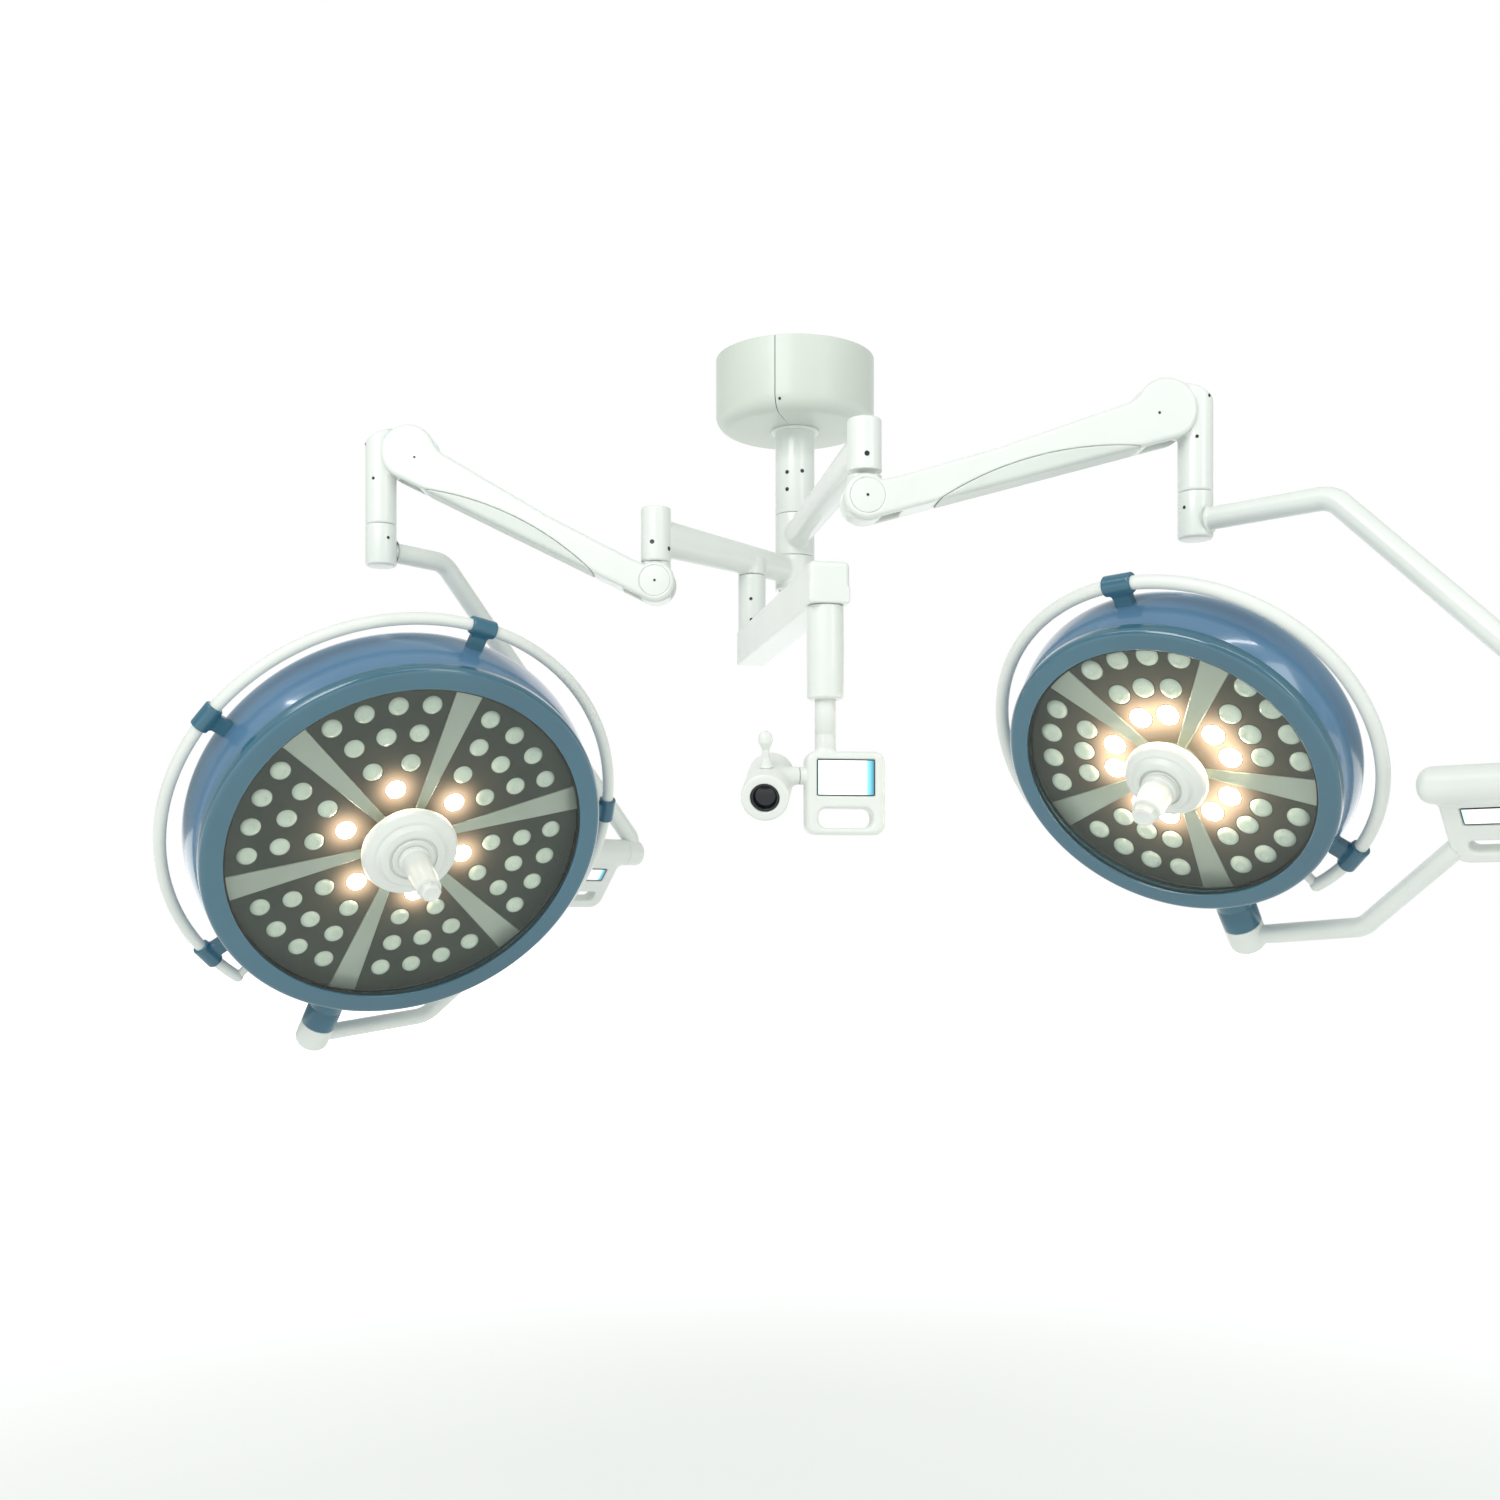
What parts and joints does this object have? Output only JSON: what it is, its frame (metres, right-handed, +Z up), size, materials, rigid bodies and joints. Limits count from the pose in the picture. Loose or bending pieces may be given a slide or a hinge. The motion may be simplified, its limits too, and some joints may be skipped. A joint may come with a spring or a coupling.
{
  "type": "surgical light",
  "caption": "Ceiling-mounted surgical light with lamp heads on spring arms with gimbal yokes, control panels and grip rails, and a camera on its own swing arm.",
  "frame": {"origin": "centre of the mounting flange's top face, which meets the ceiling, on the column's axis", "axes": "+Z up along the column, towards the ceiling; -Y towards the viewer of the picture; +X to the viewer's right"},
  "size_m": [2.0431, 1.1958, 1.2658],
  "materials": {
    "white_paint": "smooth gloss powder coat, off-white",
    "white_plastic": "smooth moulded plastic, off-white",
    "cover_plastic": "satin moulded plastic, pale grey-green",
    "blue_shell": "high-gloss moulded shell, steel blue",
    "teal_rim": "high-gloss moulded rim, teal blue",
    "clip_plastic": "satin moulded clips, dark teal",
    "window_glass": "clear toughened glass with a green edge",
    "reflector_silver": "satin anodised",
    "sector_dark": "dark bronze-grey, fine grain",
    "lens_clear": "frosted clear optics",
    "display": "smooth membrane window, pale",
    "steel": "turned and ground",
    "bronze": "machined bearing bronze",
    "dark_steel": "blackened",
    "camera_black": "black coated lens"
  },
  "bodies": {
    "ceiling_mount": {"ceiling_flange": "steel", "column_tube": "white_paint", "hub_spindle": "steel", "hub_bushings": "bronze", "spindle_cap": "white_plastic", "canopy_left": "white_plastic", "canopy_right": "white_plastic", "canopy_collar": "white_plastic", "column_screws": "dark_steel"},
    "extension_right": {"extension_arm_right": "white_paint"},
    "knuckle_right": {"rear_knuckle_right": "white_paint"},
    "beam_right": {"spring_beam_right": "white_plastic", "beam_cover_right": "cover_plastic", "pivot_pins_right": "steel", "gas_spring_right": "dark_steel"},
    "link_right": {"link_rod_right": "steel"},
    "spigot_body_right": {"spigot_right": "white_paint"},
    "outer_arm_right": {"outer_yoke_right": "white_paint"},
    "inner_arm_right": {"control_box_right": "white_plastic", "control_display_right": "display", "inner_yoke_right": "white_paint"},
    "head_right": {"housing_right": "blue_shell", "bezel_right": "teal_rim", "glass_right": "window_glass", "led_carrier_right": "reflector_silver", "sector_plates_right": "sector_dark", "lenses_right": "lens_clear", "centre_hub_right": "white_plastic", "grip_rail_right": "white_plastic", "rail_clips_right": "clip_plastic"},
    "handle_body_right": {"handle_right": "white_plastic"},
    "extension_left": {"extension_arm_left": "white_paint"},
    "knuckle_left": {"rear_knuckle_left": "white_paint"},
    "beam_left": {"spring_beam_left": "white_plastic", "beam_cover_left": "cover_plastic", "pivot_pins_left": "steel", "gas_spring_left": "dark_steel"},
    "link_left": {"link_rod_left": "steel"},
    "spigot_body_left": {"spigot_left": "white_paint"},
    "outer_arm_left": {"outer_yoke_left": "white_paint"},
    "inner_arm_left": {"control_box_left": "white_plastic", "control_display_left": "display", "inner_yoke_left": "white_paint"},
    "head_left": {"housing_left": "blue_shell", "bezel_left": "teal_rim", "glass_left": "window_glass", "led_carrier_left": "reflector_silver", "sector_plates_left": "sector_dark", "lenses_left": "lens_clear", "centre_hub_left": "white_plastic", "grip_rail_left": "white_plastic", "rail_clips_left": "clip_plastic"},
    "handle_body_left": {"handle_left": "white_plastic"},
    "boom": {"camera_boom": "white_paint"},
    "drop": {"drop_tube": "white_paint", "control_frame": "white_plastic", "frame_display": "display"},
    "camera": {"camera_body": "white_plastic", "camera_lens": "camera_black", "camera_grip": "white_plastic"}
  },
  "joints": [
    {"name": "column_swing_right", "type": "hinge", "parent": "ceiling_mount", "child": "extension_right", "pos_m": [0, 0, -0.363], "axis": [0, 0, 1], "range_deg": [-15, 165]},
    {"name": "arm_swivel_right", "type": "hinge", "parent": "extension_right", "child": "knuckle_right", "pos_m": [0.08589, -0.58877, -0.369], "axis": [0, 0, 1], "range_deg": [-150, 50]},
    {"name": "arm_lift_right", "type": "hinge", "parent": "knuckle_right", "child": "beam_right", "pos_m": [0.08589, -0.58877, -0.404], "axis": [0.0854, -0.9963, 0], "range_deg": [-62, 13]},
    {"name": "link_swing_right", "type": "hinge", "parent": "knuckle_right", "child": "link_right", "pos_m": [0.08589, -0.58877, -0.428], "axis": [0.0854, -0.9963, 0], "range_deg": [-62, 13]},
    {"name": "front_level_right", "type": "hinge", "parent": "beam_right", "child": "spigot_body_right", "pos_m": [0.53323, -0.55042, -0.26502], "axis": [0.0854, -0.9963, 0], "range_deg": [-13, 62]},
    {"name": "yoke_swivel_right", "type": "hinge", "parent": "spigot_body_right", "child": "outer_arm_right", "pos_m": [0.58504, -0.54598, -0.41502], "axis": [0, 0, 1], "range_deg": [-110, 170]},
    {"name": "yoke_tilt_right", "type": "hinge", "parent": "outer_arm_right", "child": "inner_arm_right", "pos_m": [0.91254, -0.85459, -0.838], "axis": [0.7278, -0.6858, 0], "range_deg": [-120, 120]},
    {"name": "head_tilt_right", "type": "hinge", "parent": "inner_arm_right", "child": "head_right", "pos_m": [0.68881, -0.43586, -1.02686], "axis": [0.4288, 0.455, -0.7804], "range_deg": [-120, 120]},
    {"name": "focus_turn_right", "type": "hinge", "parent": "head_right", "child": "handle_body_right", "pos_m": [0.50232, -0.63961, -0.84194], "axis": [-0.5056, -0.595, -0.6247], "range_deg": [-45, 45]},
    {"name": "column_swing_left", "type": "hinge", "parent": "ceiling_mount", "child": "extension_left", "pos_m": [0, 0, -0.394], "axis": [0, 0, 1], "range_deg": [-165, 8]},
    {"name": "arm_swivel_left", "type": "hinge", "parent": "extension_left", "child": "knuckle_left", "pos_m": [-0.24179, -0.23761, -0.423], "axis": [0, 0, 1], "range_deg": [-95, 85]},
    {"name": "arm_lift_left", "type": "hinge", "parent": "knuckle_left", "child": "beam_left", "pos_m": [-0.24179, -0.23761, -0.458], "axis": [0.0227, 0.9997, 0], "range_deg": [-73, 2]},
    {"name": "link_swing_left", "type": "hinge", "parent": "knuckle_left", "child": "link_left", "pos_m": [-0.24179, -0.23761, -0.482], "axis": [0.0227, 0.9997, 0], "range_deg": [-73, 2]},
    {"name": "front_level_left", "type": "hinge", "parent": "beam_left", "child": "spigot_body_left", "pos_m": [-0.65744, -0.22818, -0.2388], "axis": [0.0227, 0.9997, 0], "range_deg": [-2, 73]},
    {"name": "yoke_swivel_left", "type": "hinge", "parent": "spigot_body_left", "child": "outer_arm_left", "pos_m": [-0.70942, -0.227, -0.3888], "axis": [0, 0, 1], "range_deg": [-170, 170]},
    {"name": "yoke_tilt_left", "type": "hinge", "parent": "outer_arm_left", "child": "inner_arm_left", "pos_m": [-0.42017, 0.11772, -0.899], "axis": [0.6428, 0.766, 0], "range_deg": [-38, 105]},
    {"name": "head_tilt_left", "type": "hinge", "parent": "inner_arm_left", "child": "head_left", "pos_m": [-0.86057, -0.06101, -1.21321], "axis": [-0.4427, 0.3714, -0.8161], "range_deg": [-35, 120]},
    {"name": "focus_turn_left", "type": "hinge", "parent": "head_left", "child": "handle_body_left", "pos_m": [-0.63683, -0.28495, -0.93412], "axis": [0.4224, -0.7165, -0.5552], "range_deg": [-45, 45]},
    {"name": "boom_swing", "type": "hinge", "parent": "extension_left", "child": "boom", "pos_m": [-0.07917, -0.0778, -0.412], "axis": [0, 0, 1], "range_deg": [-40, 20]},
    {"name": "drop_swivel", "type": "hinge", "parent": "boom", "child": "drop", "pos_m": [0.02535, -0.64729, -0.571], "axis": [0, 0, 1], "range_deg": [-160, 160]},
    {"name": "camera_tilt", "type": "hinge", "parent": "drop", "child": "camera", "pos_m": [-0.02278, -0.65405, -0.815], "axis": [0.9903, 0.1392, 0], "range_deg": [-80, 80]}
  ],
  "couplings": [
    {"joint": "link_swing_right", "follows": "arm_lift_right", "ratio": 1},
    {"joint": "front_level_right", "follows": "arm_lift_right", "ratio": -1},
    {"joint": "link_swing_left", "follows": "arm_lift_left", "ratio": 1},
    {"joint": "front_level_left", "follows": "arm_lift_left", "ratio": -1}
  ]
}
